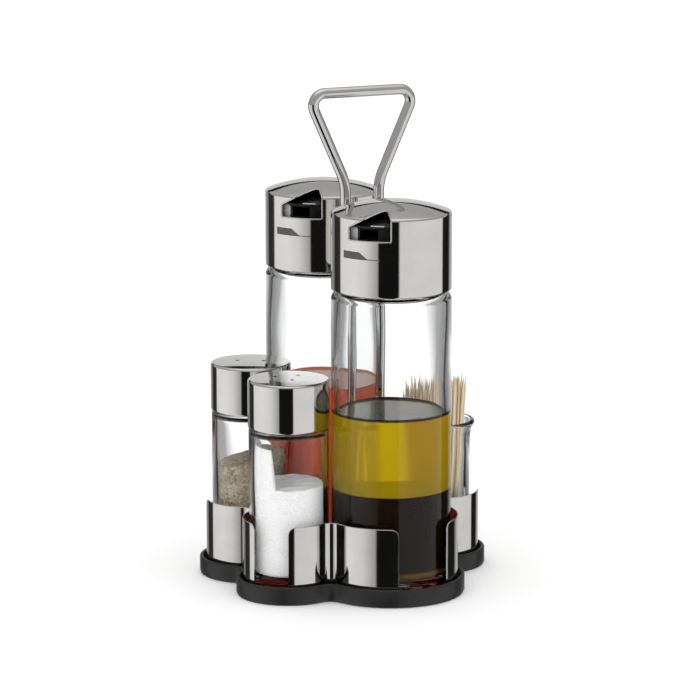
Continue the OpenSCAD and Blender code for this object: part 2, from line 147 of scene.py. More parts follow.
def stretch(a, b, count):
    """Points from a towards b, without b."""
    return [
        tuple(p + (q - p) * k / count for p, q in zip(a, b))
        for k in range(count)
    ]


def revolve(profile, axis=(0, 0), steps=STEPS, closed=False, shape=None):
    """A profile of (radius, height) points turned round a vertical axis.

    shape(radius, height, angle) may move each point to another radius and height.
    """
    corners = []
    for k in range(steps):
        angle = TAU * k / steps
        for radius, height in profile:
            if shape:
                radius, height = shape(radius, height, angle)
            corners.append((axis[0] + radius * math.cos(angle),
                            axis[1] + radius * math.sin(angle), height))
    count = len(profile)
    faces = []
    for k in range(steps):
        a = k * count
        b = (k + 1) % steps * count
        for i in range(count if closed else count - 1):
            j = (i + 1) % count
            faces.append((a + i, b + i, b + j, a + j))
    return corners, faces


def loft(rings):
    """Closed rings of equal length joined in order, with flat ends."""
    count = len(rings[0])
    corners = [corner for ring in rings for corner in ring]
    faces = [tuple(range(count - 1, -1, -1))]
    for k in range(len(rings) - 1):
        for i in range(count):
            j = (i + 1) % count
            faces.append((k * count + i, k * count + j,
                          (k + 1) * count + j, (k + 1) * count + i))
    faces.append(tuple((len(rings) - 1) * count + i for i in range(count)))
    return corners, faces


def joined(*meshes):
    """Several (corners, faces) in one."""
    corners, faces = [], []
    for more_corners, more_faces in meshes:
        base = len(corners)
        corners += more_corners
        faces += [tuple(base + i for i in face) for face in more_faces]
    return corners, faces


def new_object(name, geometry):
    """An object made of corners in millimetres, with merged corners and outward faces."""
    corners, faces = geometry
    mesh = bpy.data.meshes.new(name)
    mesh.from_pydata([[c * MM for c in corner] for corner in corners], [], faces)
    bm = bmesh.new()
    bm.from_mesh(mesh)
    bmesh.ops.remove_doubles(bm, verts=bm.verts, dist=1e-7)
    bmesh.ops.recalc_face_normals(bm, faces=bm.faces)
    bm.to_mesh(mesh)
    bm.free()
    obj = bpy.data.objects.new(name, mesh)
    bpy.context.scene.collection.objects.link(obj)
    return obj


def keep_modifiers(obj):
    """Write the result of an object's modifiers into its mesh."""
    bpy.context.view_layer.update()
    evaluated = obj.evaluated_get(bpy.context.evaluated_depsgraph_get())
    mesh = bpy.data.meshes.new_from_object(evaluated)
    obj.modifiers.clear()
    obj.data = mesh


def cut(obj, *geometries):
    """Take solids away from an object."""
    for geometry in geometries:
        tool = new_object("cutter", geometry)
        modifier = obj.modifiers.new("cut", "BOOLEAN")
        modifier.operation = "DIFFERENCE"
        modifier.solver = "EXACT"
        modifier.object = tool
        keep_modifiers(obj)
        bpy.data.objects.remove(tool)


def soften(obj, width, angle=50, segments=2):
    """Round the sharp edges of an object, by a width in millimetres."""
    modifier = obj.modifiers.new("edges", "BEVEL")
    modifier.width = width * MM
    modifier.segments = segments
    modifier.limit_method = "ANGLE"
    modifier.angle_limit = math.radians(angle)
    modifier.harden_normals = False
    keep_modifiers(obj)


def dress(obj, material, body, replaced=(), sharp=38):
    """Give an object its material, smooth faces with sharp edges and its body."""
    obj.data.materials.clear()
    obj.data.materials.append(material)
    for polygon in obj.data.polygons:
        polygon.use_smooth = True
    obj.data.set_sharp_from_angle(angle=math.radians(sharp))
    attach(obj, body)
    if replaced:
        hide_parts(*replaced)
    return obj


def place(points, axis, degrees=0):
    """Points (x, y, z) turned about Z and moved to an axis."""
    placed = []
    for x, y, z in points:
        x, y = turned(x, y, degrees)
        placed.append((axis[0] + x, axis[1] + y, z))
    return placed


def curved_block(axis, inner, outer, start, end, low, high, steps=24):
    """A block that follows a cylinder, from one angle to another; high may be a function of the angle."""
    rings = []
    for k in range(steps + 1):
        degrees = start + (end - start) * k / steps
        top = high(degrees) if callable(high) else high
        section = [(inner, 0, low), (outer, 0, low), (outer, 0, top), (inner, 0, top)]
        rings.append(place(section, axis, degrees))
    return loft(rings)


# ---------- materials ----------

def new_material(name):
    material = bpy.data.materials.new(name)
    material.use_nodes = True
    tree = material.node_tree
    tree.nodes.clear()
    return material, tree


def add(tree, kind, inputs=(), **settings):
    """A node with its settings and its inputs, each a value or a socket to link from."""
    node = tree.nodes.new(kind)
    for key, value in settings.items():
        setattr(node, key, value)
    for key, value in dict(inputs).items():
        socket = node.inputs[key]
        if isinstance(value, bpy.types.NodeSocket):
            tree.links.new(value, socket)
        else:
            socket.default_value = value
    return node


def maths(tree, operation, *values):
    return add(tree, "ShaderNodeMath", dict(enumerate(values)), operation=operation).outputs["Value"]


def noise(tree, size, detail=3.0, stretch_by=(1, 1, 1)):
    """Noise whose features are about size millimetres across."""
    coordinates = add(tree, "ShaderNodeTexCoord")
    scale = [s / (size * MM) for s in stretch_by]
    mapping = add(tree, "ShaderNodeMapping",
                  {"Vector": coordinates.outputs["Object"], "Scale": scale})
    node = add(tree, "ShaderNodeTexNoise",
               {"Vector": mapping.outputs["Vector"], "Scale": 1.0, "Detail": detail})
    return node.outputs["Fac"]


def cells(tree, size):
    """Random colours of cells about size millimetres across, and the distance to their middles."""
    coordinates = add(tree, "ShaderNodeTexCoord")
    node = add(tree, "ShaderNodeTexVoronoi",
               {"Vector": coordinates.outputs["Object"], "Scale": 1 / (size * MM)})
    return node.outputs["Color"], node.outputs["Distance"]


def blend_colours(tree, factor, *stops):
    """Colours along a factor, each stop (place, colour)."""
    node = add(tree, "ShaderNodeValToRGB", {"Fac": factor})
    elements = node.color_ramp.elements
    while len(elements) < len(stops):
        elements.new(0.5)
    for element, (position, colour) in zip(elements, stops):
        element.position = position
        element.color = (*colour, 1)
    return node.outputs["Color"]


def between(tree, value, low, high, start=0.35, end=0.65):
    """A value spread from low to high while it runs from start to end."""
    node = add(tree, "ShaderNodeMapRange",
               {"Value": value, "From Min": start, "From Max": end, "To Min": low, "To Max": high})
    return node.outputs["Result"]


def bumps(tree, height, depth, strength=1.0, under=None):
    """A bump normal of a depth in millimetres, over another normal."""
    inputs = {"Height": height, "Distance": depth * MM, "Strength": strength}
    if under is not None:
        inputs["Normal"] = under
    return add(tree, "ShaderNodeBump", inputs).outputs["Normal"]


def surface(tree, inputs):
    """The material's only shader."""
    shader = add(tree, "ShaderNodeBsdfPrincipled", inputs)
    output = add(tree, "ShaderNodeOutputMaterial")
    tree.links.new(shader.outputs["BSDF"], output.inputs["Surface"])
    return shader


def steel(name, dark, light, low, high, lines=(1, 1, 1)):
    """Polished stainless steel: faint drawn lines, smudges and a slow waviness."""
    material, tree = new_material(name)
    smudge = noise(tree, 9, 4)
    drawn = noise(tree, 0.35, 2, lines)
    wave = noise(tree, 22, 1)
    colour = blend_colours(tree, smudge, (0.3, dark), (0.7, light))
    slow = bumps(tree, wave, 0.02)
    fine = bumps(tree, drawn, 0.0012, under=slow)
    surface(tree, {"Base Color": colour, "Metallic": 1.0, "Normal": fine,
                   "Roughness": between(tree, smudge, low, high)})
    return material


def moulded(name, dark, light, low, high, grain=0.25, depth=0.01, gloss=0.5):
    """Moulded plastic or rubber with a fine spark-eroded grain and handling marks."""
    material, tree = new_material(name)
    texture = noise(tree, grain, 3)
    patches = noise(tree, 6, 4)
    colour = blend_colours(tree, patches, (0.3, dark), (0.7, light))
    surface(tree, {"Base Color": colour, "Roughness": between(tree, patches, low, high),
                   "Specular IOR Level": gloss, "Normal": bumps(tree, texture, depth)})
    return material


def layers(tree, low, high, *stops):
    """Colours along the height from low to high, in millimetres, each stop (height, colour)."""
    place_in = add(tree, "ShaderNodeTexCoord").outputs["Object"]
    height = add(tree, "ShaderNodeSeparateXYZ", {"Vector": place_in}).outputs["Z"]
    share = between(tree, height, 0.0, 1.0, low * MM, high * MM)
    return blend_colours(tree, share, *[((z - low) / (high - low), colour) for z, colour in stops])


def clear(name, colour, ior, depth, mirror, cloud=0.0, shade=1.0, stops=()):
    """Glass or liquid that lets light through.

    mirror is the strength of its reflection, cloud how much of it scatters light, shade how much
    of the light on other pieces it lets pass, and stops its colours by height, which on the liquids hold painted
    shade, painted reflection and a painted glow.
    """
    material, tree = new_material(name)
    ripple = noise(tree, 14, 2, (1, 1, 0.35))
    smudge = noise(tree, 4, 4)
    base = (*colour, 1)
    if stops:
        base = layers(tree, stops[0][0], stops[-1][0], *stops)
    shader = add(tree, "ShaderNodeBsdfPrincipled", {
        "Base Color": base, "Transmission Weight": 1.0 - cloud, "IOR": ior,
        "Specular Tint": (mirror, mirror, mirror, 1), "Specular IOR Level": 0.5 * mirror,
        "Roughness": between(tree, smudge, 0.0, 0.012), "Normal": bumps(tree, ripple, depth),
    })
    passing = add(tree, "ShaderNodeBsdfTransparent", {"Color": (shade, shade, shade, 1)})
    path = add(tree, "ShaderNodeLightPath")
    shown = shader.outputs["BSDF"]
    for kind in ("Is Diffuse Ray", "Is Shadow Ray"):
        mix = add(tree, "ShaderNodeMixShader", {0: path.outputs[kind], 1: shown,
                                                2: passing.outputs["BSDF"]})
        shown = mix.outputs["Shader"]
    output = add(tree, "ShaderNodeOutputMaterial")
    tree.links.new(shown, output.inputs["Surface"])
    return material


def painted_shade_top_stops(level, colour, rim, face):
    """Colour stops of a liquid's top: rim is a painted dark line of shade at the wetted rim and face a painted
    reflection on the flat top, both unlike the side's own colour.
    """
    return ((level - 1, colour), (level - 0.45, colour), (level - 0.4, rim), (level - 0.08, rim),
            (level - 0.05, face), (level + 0.05, face), (level + 0.08, rim), (level + 1, rim))


def granular(name, size, roughness, depth, *palette):
    """Grains: each cell has its own colour and stands out a little."""
    material, tree = new_material(name)
    cell, distance = cells(tree, size)
    patches = noise(tree, 5, 3)
    grey = add(tree, "ShaderNodeSeparateColor", {"Color": cell}).outputs["Red"]
    mixed = add(tree, "ShaderNodeMath", {0: grey, 1: patches}, operation="ADD").outputs["Value"]
    half = add(tree, "ShaderNodeMath", {0: mixed, 1: 0.5}, operation="MULTIPLY").outputs["Value"]
    colour = blend_colours(tree, half, *palette)
    surface(tree, {"Base Color": colour, "Roughness": roughness,
                   "Normal": bumps(tree, distance, depth)})
    return material


def pick_wood():
    """Pale split wood, a little different on each pick, with grain along it."""
    material, tree = new_material("pick_wood")
    grain = noise(tree, 0.5, 4, (1, 1, 0.04))
    each = add(tree, "ShaderNodeNewGeometry").outputs["Random Per Island"]
    mixed = add(tree, "ShaderNodeMath", {0: grain, 1: each}, operation="ADD").outputs["Value"]
    half = add(tree, "ShaderNodeMath", {0: mixed, 1: 0.5}, operation="MULTIPLY").outputs["Value"]
    colour = blend_colours(tree, half, (0.2, (0.50, 0.38, 0.22)), (0.45, (0.66, 0.54, 0.36)),
                           (0.8, (0.80, 0.69, 0.50)))
    surface(tree, {"Base Color": colour, "Roughness": between(tree, grain, 0.5, 0.75),
                   "Normal": bumps(tree, grain, 0.05)})
    return material


CAP_STEEL = steel("cap_steel", (0.64, 0.63, 0.61), (0.68, 0.67, 0.65), 0.03, 0.07, (1, 1, 0.05))
FENCE_STEEL = steel("fence_steel", (0.60, 0.59, 0.57), (0.65, 0.64, 0.62), 0.04, 0.09, (1, 1, 0.05))
HANDLE_STEEL = steel("handle_steel", (0.60, 0.59, 0.57), (0.66, 0.65, 0.63), 0.05, 0.11)
FIXING_STEEL = steel("fixing_steel", (0.42, 0.42, 0.42), (0.55, 0.55, 0.54), 0.2, 0.35)
MARK_STEEL = moulded("etched_mark", (0.05, 0.05, 0.05), (0.09, 0.09, 0.085), 0.45, 0.6, 0.15)
TRAY_PLASTIC = moulded("tray_plastic", (0.012, 0.012, 0.012), (0.018, 0.018, 0.017), 0.34, 0.47, gloss=0.35)
POURER_PLASTIC = moulded("pourer_plastic", (0.005, 0.005, 0.005), (0.009, 0.009, 0.009), 0.28, 0.38, gloss=0.25)
SHUTTER_PLASTIC = moulded("shutter_plastic", (0.36, 0.36, 0.35), (0.44, 0.44, 0.43), 0.35, 0.5)
LINER_PLASTIC = moulded("liner_plastic", (0.014, 0.014, 0.014), (0.024, 0.024, 0.024), 0.4, 0.55)
SEAL_SILICONE = moulded("seal_silicone", (0.62, 0.62, 0.60), (0.74, 0.74, 0.72), 0.45, 0.6, 0.3, 0.02)
CLEAR_GLASS = clear("clear_glass", (0.985, 0.99, 0.988), 1.5, 0.05, 0.45, shade=0.97)
OIL_COLOUR = (0.52, 0.355, 0.007)
# The oil's rim and face colours below are painted shade and a painted reflection at its top.
OIL_LIQUID = clear("oil_liquid", OIL_COLOUR, 1.47, 0.0, 0.05, 0.4, 0.6, painted_shade_top_stops(
    OIL_LEVEL, OIL_COLOUR, (0.03, 0.02, 0.008), (0.10, 0.09, 0.07)))
# The amber band at the bottom of the balsamic is a painted glow: light refracted through the thick glass base, not
# the vinegar's own colour.
BALSAMIC_LIQUID = clear("balsamic_liquid", (0.009, 0.006, 0.003), 1.35, 0.0, 0.05, 0.9, 0.1, (
    (BASE_LEVEL, (0.16, 0.09, 0.015)), (BASE_LEVEL + 2.5, (0.16, 0.09, 0.015)),
    (BASE_LEVEL + 4, (0.009, 0.006, 0.003)), (BASE_LEVEL + 10, (0.009, 0.006, 0.003))))
RED_COLOUR = (0.78, 0.12, 0.055)
# The red vinegar's rim and face colours below are painted shade and a painted reflection at its top.
RED_LIQUID = clear("red_liquid", RED_COLOUR, 1.34, 0.0, 0.05, 0.55, 0.3, painted_shade_top_stops(
    RED_LEVEL, RED_COLOUR, (0.50, 0.16, 0.10), (0.36, 0.25, 0.21)))
SALT_GRAINS = granular("salt_grains", 0.45, 0.6, 0.12,
                       (0.25, (0.84, 0.84, 0.83)), (0.6, (0.95, 0.95, 0.95)))
PEPPER_GRAINS = granular("pepper_grains", 1.0, 0.8, 0.3, (0.15, (0.13, 0.095, 0.055)),
                         (0.38, (0.27, 0.22, 0.14)), (0.6, (0.37, 0.31, 0.22)),
                         (0.85, (0.52, 0.46, 0.34)))
PICK_WOOD = pick_wood()


# ---------- tray and fence ----------

def fillet_centre(first, second, grow, fold):
    """Centre of the fold that joins two lobes grown by grow."""
    (ax, ay), a_radius = first[0], first[1] + grow
    (bx, by), b_radius = second[0], second[1] + grow
    a = Vector((ax, ay))
    along = Vector((bx, by)) - a
    distance = along.length
    along.normalize()
    left = Vector((-along.y, along.x))
    s = (distance ** 2 + (a_radius + fold) ** 2 - (b_radius + fold) ** 2) / (2 * distance)
    return a + along * s + left * math.sqrt((a_radius + fold) ** 2 - s ** 2)


def angle_to(a, b):
    return math.degrees(math.atan2(b[1] - a[1], b[0] - a[0]))


def lobe_arc(lobe, grow, start, end, count):
    """Clockwise arc of a lobe."""
    sweep = (start - end) % 360
    return arc(*lobe[0], lobe[1] + grow, start, start - sweep, count)


def fold_arc(centre, radius, a, b, count):
    """Anticlockwise arc of a fold, without its ends."""
    start = angle_to(centre, a)
    sweep = (angle_to(centre, b) - start) % 360
    return arc(*centre, radius, start, start + sweep, count)[1:-1]


def outline(grow, fold):
    """Closed outline of the five lobes."""
    points = []
    for i, lobe in enumerate(LOBES):
        after = LOBES[(i + 1) % 5]
        entry = fillet_centre(LOBES[i - 1], lobe, grow, fold)
        leave = fillet_centre(lobe, after, grow, fold)
        points += lobe_arc(lobe, grow, angle_to(lobe[0], entry), angle_to(lobe[0], leave), 64)
        points += fold_arc(leave, fold, lobe[0], after[0], 14)
    return points


def at_height(points, z):
    return [(x, y, z) for x, y in points]


def bore(x, y, radius, low, high):
    """A plain round cutter."""
    return revolve([(0, low), (radius, low), (radius, high), (0, high)], (x, y), 48)


def make_tray():
    """One moulding: rolled rim, soft lower edge, and pockets for the handle's nuts below."""
    outer = TRAY_MARGIN
    inner = TRAY_MARGIN - RIM_W
    edge = 1.2
    middle = (outer + inner) / 2
    crown = RIM_W / 2
    steps = [(outer - edge, 0), (outer - 0.35 * edge, 0.35 * edge - 0.1), (outer, edge)]
    steps += [(outer, 3.0), (outer, RIM_Z - crown)]
    steps += [(middle + crown * math.cos(a * TAU / 24), RIM_Z - crown + crown * math.sin(a * TAU / 24))
              for a in range(1, 12)]
    steps += [(inner, RIM_Z - crown), (inner, FLOOR_Z + 0.6), (inner - 0.2, FLOOR_Z + 0.15),
              (inner - 0.6, FLOOR_Z)]
    rings = [at_height(outline(grow, TRAY_CUSP_R + outer - grow), z) for grow, z in steps]
    tray = new_object("tray_moulding", loft(rings))
    for side in (-1, 1):
        x = HANDLE_X + side * LEG_HALF
        cut(tray, bore(x, 0, 5.2, -1, 4))
    boss = new_object("handle_socket", joined(*[
        revolve([(2.55, FLOOR_Z - 0.5), (5.5, FLOOR_Z - 0.5), (5.5, RIM_Z - 1.2), (4.8, RIM_Z - 0.5),
                 (2.55, RIM_Z - 0.5)], (HANDLE_X + side * LEG_HALF, 0), 64, closed=True)
        for side in (-1, 1)
    ]))
    dress(tray, TRAY_PLASTIC, "stand", ["tray"])
    dress(boss, TRAY_PLASTIC, "stand")


def panel_line(first, second):
    """Path of a fence panel from one gap to the next, each point with its outward direction."""
    fold = fillet_centre(first, second, 0, FOLD_R)
    a_end = angle_to(first[0], fold)
    b_start = angle_to(second[0], fold)
    path = []
    start = first[2] - first[3]
    dense = 12 / first[1] * 8
    path += lobe_side(first, start, start - dense, 14)
    path += lobe_side(first, start - dense, start - (start - a_end) % 360, 44)
    turn_start = angle_to(fold, first[0])
    sweep = (angle_to(fold, second[0]) - turn_start) % 360
    for k in range(1, 24):
        degrees = turn_start + sweep * k / 24
        x, y = turned(FOLD_R, 0, degrees)
        path.append((fold[0] + x, fold[1] + y, -x / FOLD_R, -y / FOLD_R))
    end = second[2] + second[3]
    dense = 12 / second[1] * 8
    path += lobe_side(second, b_start, b_start - (b_start - end - dense) % 360, 44)
    path += lobe_side(second, end + dense, end, 14, True)
    return path


def lobe_side(lobe, start, end, count, last=False):
    """Points of a lobe's arc with their outward directions; the last point is kept on request."""
    side = []
    for k in range(count + (1 if last else 0)):
        x, y = turned(1, 0, start + (end - start) * k / count)
        side.append((lobe[0][0] + x * lobe[1], lobe[0][1] + y * lobe[1], x, y))
    return side


def corner_drop(distance):
    """How much lower the top edge is at a distance from the panel's end."""
    if distance >= CORNER_R:
        return 0
    return CORNER_R - math.sqrt(CORNER_R ** 2 - (CORNER_R - distance) ** 2)


def make_fence_panel(node, index):
    """A bent sheet with a rounded top edge and rounded top corners."""
    first = LOBES[index]
    second = LOBES[(index + 1) % 5]
    path = panel_line(first, second)
    low, high = span_of(node)
    lengths = [0]
    for p, q in zip(path, path[1:]):
        lengths.append(lengths[-1] + math.dist(p[:2], q[:2]))
    half = SHEET_T / 2
    rings = []
    for (x, y, out_x, out_y), along in zip(path, lengths):
        top = high - corner_drop(min(along, lengths[-1] - along)) - half
        section = [(0, low), (0, low + 0.3), (0, top - 0.8), (0, top - 0.1), (0, top)]
        section += [(-half + half * math.cos(a), top + half * math.sin(a))
                    for a in (TAU / 12, TAU / 6, TAU / 4, TAU / 3, 5 * TAU / 12)]
        section += [(-SHEET_T, top), (-SHEET_T, top - 0.1), (-SHEET_T, top - 0.8), (-SHEET_T, low)]
        rings.append([(x + out_x * d, y + out_y * d, z) for d, z in section])
    panel = new_object(node + "_sheet", loft(rings))
    dress(panel, FENCE_STEEL, "stand", [node], 50)


# ---------- handle ----------

def rounded_line(points, radii):
    """A line in the XZ plane with an arc at each inner point."""
    path = [points[0]]
    for before, here, after, radius in zip(points, points[1:], points[2:], radii):
        here = Vector(here)
        back = (Vector(before) - here).normalized()
        ahead = (Vector(after) - here).normalized()
        half = back.angle(ahead) / 2
        centre = here + (back + ahead).normalized() * (radius / math.sin(half))
        start = here + back * (radius / math.tan(half)) - centre
        end = here + ahead * (radius / math.tan(half)) - centre
        total = start.angle_signed(end)
        for k in range(17):
            turn = -total * k / 16
            c, s = math.cos(turn), math.sin(turn)
            path.append((centre.x + start.x * c - start.y * s, centre.y + start.x * s + start.y * c))
    path.append(points[-1])
    return path


def sweep_round(path, radius, sides=40):
    """A round wire along a path in the XZ plane."""
    rings = []
    last = len(path) - 1
    for k, (x, z) in enumerate(path):
        before = Vector(path[max(k - 1, 0)])
        after = Vector(path[min(k + 1, last)])
        along = (after - before).normalized()
        across = Vector((-along.y, along.x))
        ring = []
        for i in range(sides):
            a = TAU * i / sides
            ring.append((x + across.x * radius * math.cos(a), radius * math.sin(a),
                         z + across.y * radius * math.cos(a)))
        rings.append(ring)
    return loft(rings)


def make_handle():
    """One bent wire: two legs, knees, slanted sides and a top bar."""
    vertex = TOP_HALF + 0.534 * TOP_CORNER_R
    foot = FLOOR_Z - 0.5
    points = [(LEG_HALF, foot), (LEG_HALF, KNEE_Z), (vertex, BAR_Z),
              (-vertex, BAR_Z), (-LEG_HALF, KNEE_Z), (-LEG_HALF, foot)]
    path = [(HANDLE_X + x, z) for x, z in rounded_line(points, [KNEE_R, TOP_CORNER_R,
                                                               TOP_CORNER_R, KNEE_R])]
    threads = [revolve([(0, 0.6), (1.6, 0.6), (2, 1)] + [
        (2 - 0.22 * (k % 2), 1 + 0.25 * k) for k in range(1, 14)] + [(2, foot + 0.2), (0, foot + 0.2)],
        (HANDLE_X + side * LEG_HALF, 0), 40) for side in (-1, 1)]
    handle = new_object("handle_wire", joined(sweep_round(path, WIRE_R), *threads))
    dress(handle, HANDLE_STEEL, "stand", ["handle"])


def make_fixings():
    """Pressed washers and chamfered hexagon nuts under the tray."""
    low, high = span_of("handle_washers")
    nut_low, nut_high = span_of("handle_nuts")
    washers, nuts = [], []
    for side in (-1, 1):
        axis = (HANDLE_X + side * LEG_HALF, 0)
        washers.append(revolve([(2.1, low), (4.4, low), (4.6, low + 0.2), (4.6, high - 0.2),
                                (4.4, high), (2.1, high)], axis, 64, closed=True))
        rings = []
        for z, shrink, inner in [(nut_low, 0.86, 0), (nut_low + 0.5, 1, 0), (nut_high, 1, 0)]:
            ring = []
            for k in range(48):
                degrees = 360 * k / 48
                flat = 3.5 / math.cos(math.radians((degrees + 30) % 60 - 30))
                x, y = turned(min(flat, 4.04 * shrink), 0, degrees)
                ring.append((axis[0] + x, axis[1] + y, z))
            rings.append(ring)
        nuts.append(loft(rings))
    washer = new_object("handle_washer_pair", joined(*washers))
    dress(washer, FIXING_STEEL, "stand", ["handle_washers"])
    nut = new_object("handle_nut_pair", joined(*nuts))
    for side in (-1, 1):
        cut(nut, bore(HANDLE_X + side * LEG_HALF, 0, 2.05, nut_low - 1, nut_high + 1))
    dress(nut, FIXING_STEEL, "stand", ["handle_nuts"], 25)


# ---------- tall cruets ----------

def wavy(limit):
    """Hand-blown unevenness of the faces inside the radius limit, in millimetres."""
    def shape(radius, height, angle):
        if radius < 1 or radius > limit:
            return radius, height
        uneven = 0.09 * math.sin(3 * angle + height / 17) + 0.06 * math.sin(5 * angle - height / 9)
        return radius + uneven, height
    return shape


def make_bottle(name, node, body, axis):
    """A thick-walled bottle with a heavy base, a rounded shoulder and a straight neck."""
    low, high = span_of(node)
    inside = CRUET_R - CRUET_WALL
    shoulder = high - 21.5
    profile = [(0, low + 1.2), (10, low + 1.1), (17, low + 0.8), (18.6, low + 0.2), (20, low)]
    profile += arc(CRUET_R - 2.2, low + 2.2, 2.2, -90, 0, 8)
    profile += stretch((CRUET_R, low + 4), (CRUET_R, shoulder - 2), 6)
    profile += arc(CRUET_R - 4, shoulder, 4, 0, 86, 12)
    profile += [(21.2, shoulder + 4.15), (20.5, shoulder + 4.8), (20.5, high - 0.8), (20.1, high - 0.2),
                (19.6, high), (17.6, high), (17.1, high - 0.3), (17, high - 0.8)]
    profile += [(17, shoulder + 2.8), (17.5, shoulder + 2.1)]
    profile += arc(inside - 1.3, shoulder + 0.6, 1.3, 88, 0, 6)
    profile += stretch((inside, shoulder - 1), (inside, low + 10), 24)
    profile += arc(inside - 4, low + 9, 4, 0, -84, 8)
    profile += [(14, low + 4.7), (7, low + 5.0), (0, low + 5.1)]
    bottle = new_object(name, revolve(profile, axis, shape=wavy(inside + 0.01)))
    dress(bottle, CLEAR_GLASS, body, [node], 60)


def make_liquid(name, node, body, axis, material, low, high, meniscus):
    """Liquid that wets the glass: it reaches a little into the wall, and creeps up it at the top."""
    wall = CRUET_R - CRUET_WALL + 0.3
    if low < 15:
        profile = [(0, low + 0.1), (7, low), (14, low - 0.3)]
        profile += arc(wall - 4, low + 3.6, 4, -84, 0, 8)
    else:
        profile = [(0, low - 0.15), (wall, low - 0.15)]
    profile += stretch((wall, low + 6), (wall, high - 1), 12)
    if meniscus:
        profile += [(wall, high + 0.9), (wall - 0.5, high + 0.8)]
        profile += [(wall - 0.5 - 2.2 * t, high + 0.8 * (1 - t) ** 2.2) for t in (0.15, 0.3, 0.5, 0.7, 0.85)]
        profile += [(wall - 2.9, high)]
    else:
        profile += [(wall, high)]
    profile += [(wall / 2, high), (0, high)]
    liquid = new_object(name, revolve(profile, axis))
    dress(liquid, material, body, [node], 60)


class Drawn:
    """A deep-drawn shell: rolled lower edge, straight side, rounded edge and dome."""

    def __init__(self, radius, thick, edge, low, side, slope):
        self.radius = radius
        self.thick = thick
        self.edge = edge
        self.low = low
        self.slope = slope
        self.edge_z = low + side - edge
        self.dome_r = radius - edge + edge * math.sin(math.radians(slope))
        self.rim_z = self.edge_z + edge * math.cos(math.radians(slope))
        self.ball_r = self.dome_r / math.sin(math.radians(slope))

    def top(self, r):
        """Height of the outer face at a radius."""
        if r > self.dome_r:
            across = min(r - self.radius + self.edge, self.edge)
            return self.edge_z + math.sqrt(self.edge ** 2 - across ** 2)
        return self.rim_z + math.sqrt(self.ball_r ** 2 - r ** 2) - math.sqrt(
            self.ball_r ** 2 - self.dome_r ** 2)

    def reach(self, z):
        """Radius of the outer face at a height."""
        if z <= self.edge_z:
            return self.radius
        if z <= self.rim_z:
            return self.radius - self.edge + math.sqrt(self.edge ** 2 - (z - self.edge_z) ** 2)
        ball_z = self.rim_z - math.sqrt(self.ball_r ** 2 - self.dome_r ** 2)
        return math.sqrt(self.ball_r ** 2 - (z - ball_z) ** 2)

    def section(self):
        """Closed section, outside first."""
        roll = 1.2
        flat = self.radius - self.edge
        outer = arc(self.radius - roll, self.low + roll, roll, -75, 0, 8)
        outer += stretch((self.radius, self.low + roll + 0.4), (self.radius, self.edge_z - 0.2), 14)
        outer += arc(flat, self.edge_z, self.edge, 0, 90 - self.slope, 10)
        outer += [(self.dome_r * k / 24, self.top(self.dome_r * k / 24)) for k in range(23, -1, -1)]
        inner = [(flat * k / 8, self.top(flat * k / 8) - self.thick) for k in range(0, 8)]
        inner += arc(flat, self.edge_z, self.edge - self.thick, 90 - self.slope, 0, 6)
        inner += [(self.radius - self.thick, self.low + roll + 0.6)]
        inner += arc(self.radius - roll, self.low + roll, roll - self.thick * 0.7, 0, -75, 5)
        return outer + inner


def rounded_corner(a, corner, b, radius, count=5):
    """Points that round a corner between its neighbours a and b."""
    corner = Vector(corner)
    u = (Vector(a) - corner).normalized()
    v = (Vector(b) - corner).normalized()
    half = u.angle(v) / 2
    centre = corner + (u + v).normalized() * (radius / math.sin(half))
    first = corner + u * (radius / math.tan(half)) - centre
    turn = math.degrees(math.pi - 2 * half) * (-1 if u.cross(v) > 0 else 1)
    start = math.degrees(math.atan2(first.y, first.x))
    return arc(centre.x, centre.y, radius, start, start + turn, count)


def notch_face(side_top):
    """Closed outline of the notch across the pouring direction: (sideways, height)."""
    corners = [(-9.5, -11), (-9.5, -5), (5.5, 2.4), (11, -0.8), (11, -11)]
    rounding = [0.8, 1, 4, 1.5, 0.8]
    outline_points = []
    for k, radius in enumerate(rounding):
        outline_points += rounded_corner(corners[k - 1], corners[k], corners[(k + 1) % 5], radius)
    return [(x, side_top + z) for x, z in outline_points]


def round_loop(points, radius, sides=10):
    """A round bead along a closed loop of points."""
    corners, faces = [], []
    count = len(points)
    hint = Vector((1, 0, 1)).normalized()
    for k, point in enumerate(points):
        along = (Vector(points[(k + 1) % count]) - Vector(points[k - 1])).normalized()
        side = along.cross(hint).normalized()
        other = along.cross(side)
        for i in range(sides):
            a = TAU * i / sides
            corners.append(tuple(Vector(point) + side * (radius * math.cos(a))
                                 + other * (radius * math.sin(a))))
    for k in range(count):
        for i in range(sides):
            j = (i + 1) % sides
            following = (k + 1) % count * sides
            faces.append((k * sides + i, k * sides + j, following + j, following + i))
    return corners, faces


def notch_edge(shell, face):
    """Middle line of the notch's turned edge, with X along the pouring direction."""
    inset = 0.3
    loop = []
    for k, point in enumerate(face):
        following = face[(k + 1) % len(face)]
        steps = max(1, round(math.dist(point, following) / 0.5))
        for across, height in stretch(point, following, steps):
            reach = shell.reach(height) - inset
            loop.append((math.sqrt(reach ** 2 - across ** 2), across, height))
    return loop


